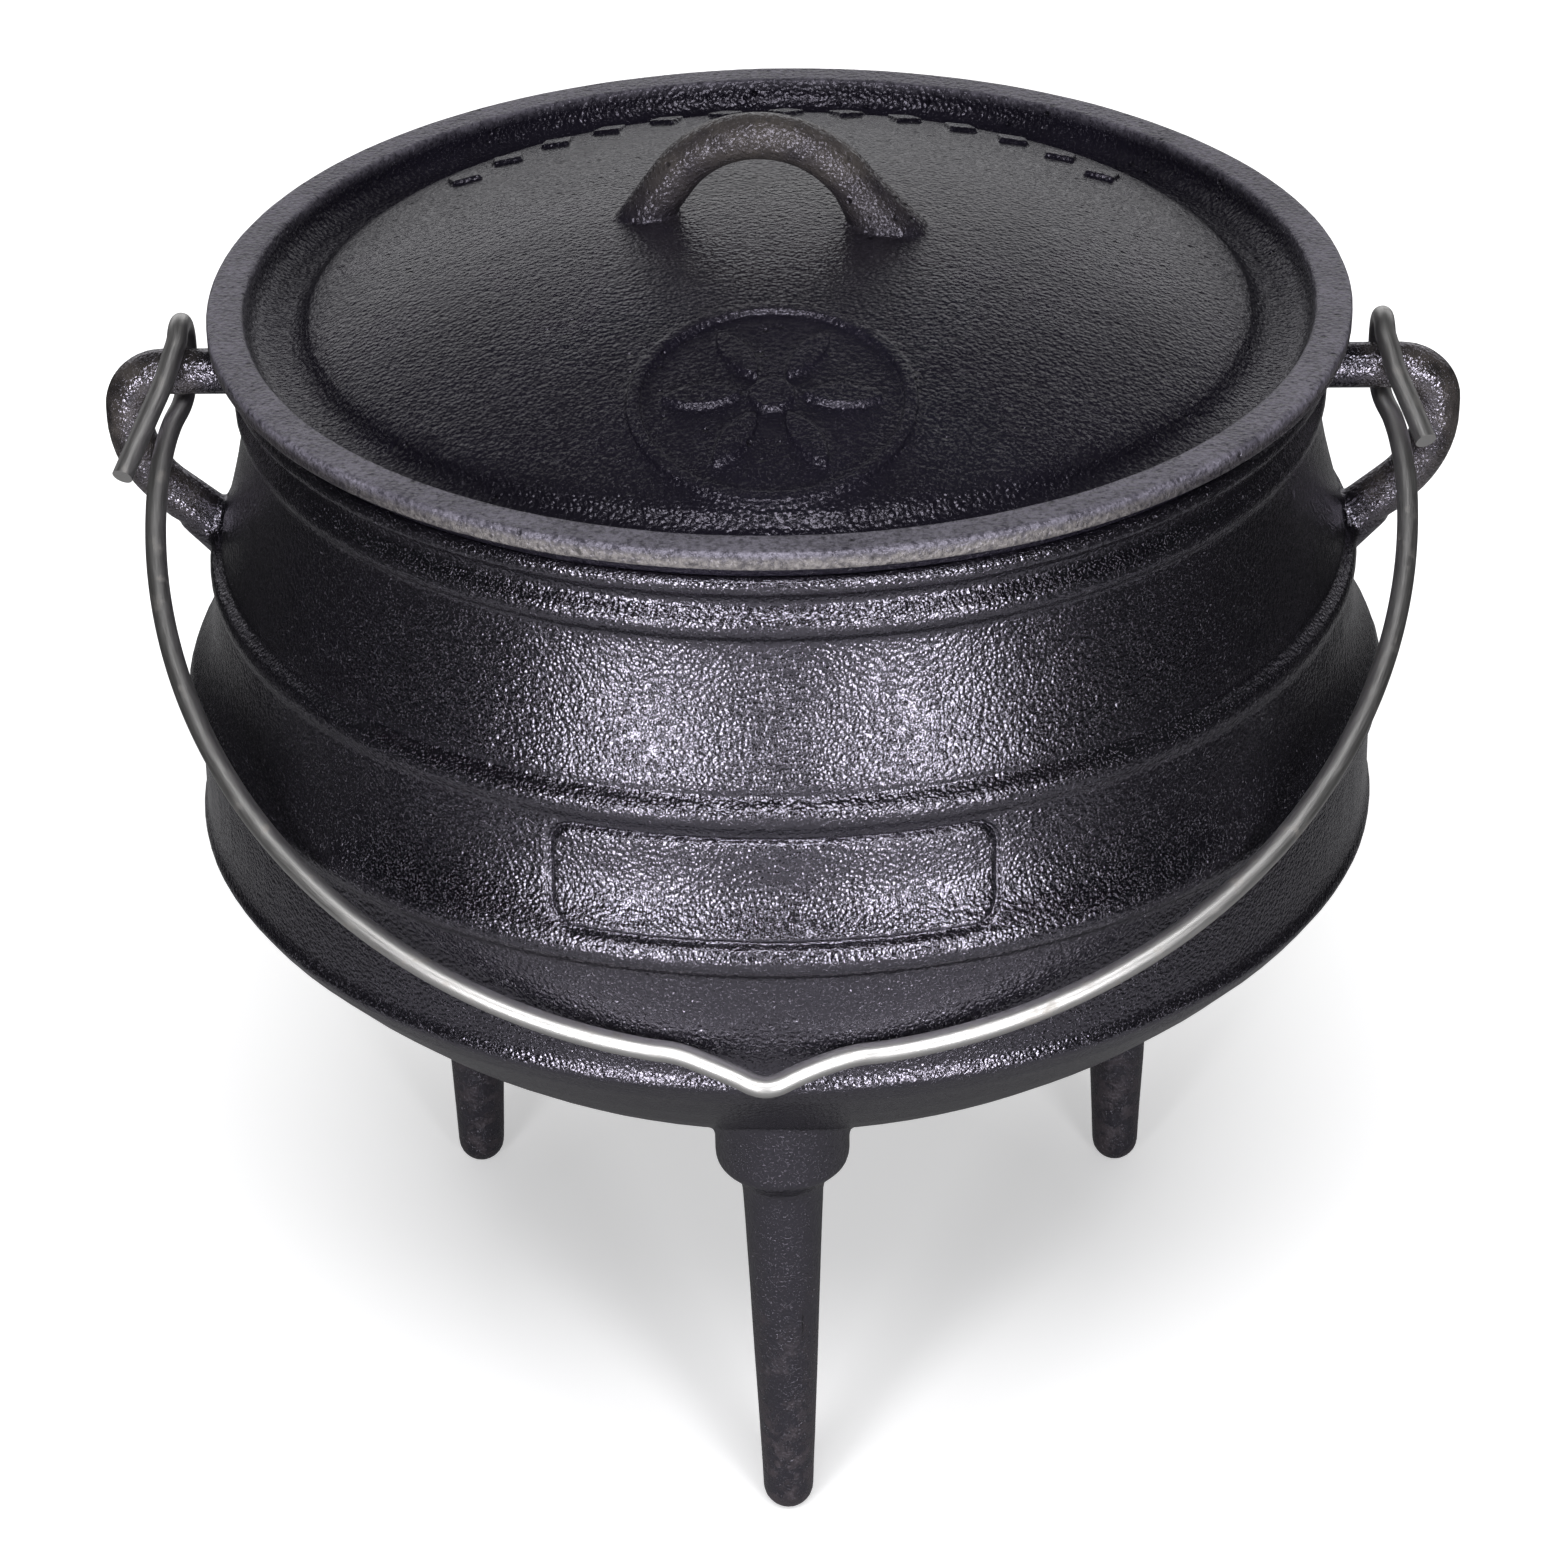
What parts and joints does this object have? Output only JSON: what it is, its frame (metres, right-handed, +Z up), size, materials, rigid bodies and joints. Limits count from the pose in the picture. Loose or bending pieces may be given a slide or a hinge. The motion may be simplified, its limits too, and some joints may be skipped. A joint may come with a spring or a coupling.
{
  "type": "potjie pot",
  "caption": "Round-bellied cast iron pot on short legs, with a domed lid that has an arched handle, and a wire bail that swings in loops at the sides of its rim",
  "frame": {"origin": "on the floor under the pot's own axis, in the plane that the feet stand on", "axes": "+Z is up, along the axis of the pot and lid. X runs through the two ears, so the bail's pivot is parallel to it. -Y is the front, with one leg, the plain panel and the bail hanging at rest"},
  "size_m": [0.3244, 0.3007, 0.3277],
  "materials": {
    "iron_body": "seasoned black, fine pebbled casting grain, satin",
    "iron_lid": "seasoned black, finer grain than the pot, satin",
    "steel_wire": "bright drawn wire"
  },
  "bodies": {
    "pot": {"pot": "iron_body", "lid": "iron_lid"},
    "bail": {"bail": "steel_wire"}
  },
  "joints": [
    {"name": "bail_swing", "type": "hinge", "parent": "pot", "child": "bail", "pos_m": [0, 0, 0.26253], "axis": [-1, 0, 0], "range_deg": [0, 248]}
  ]
}
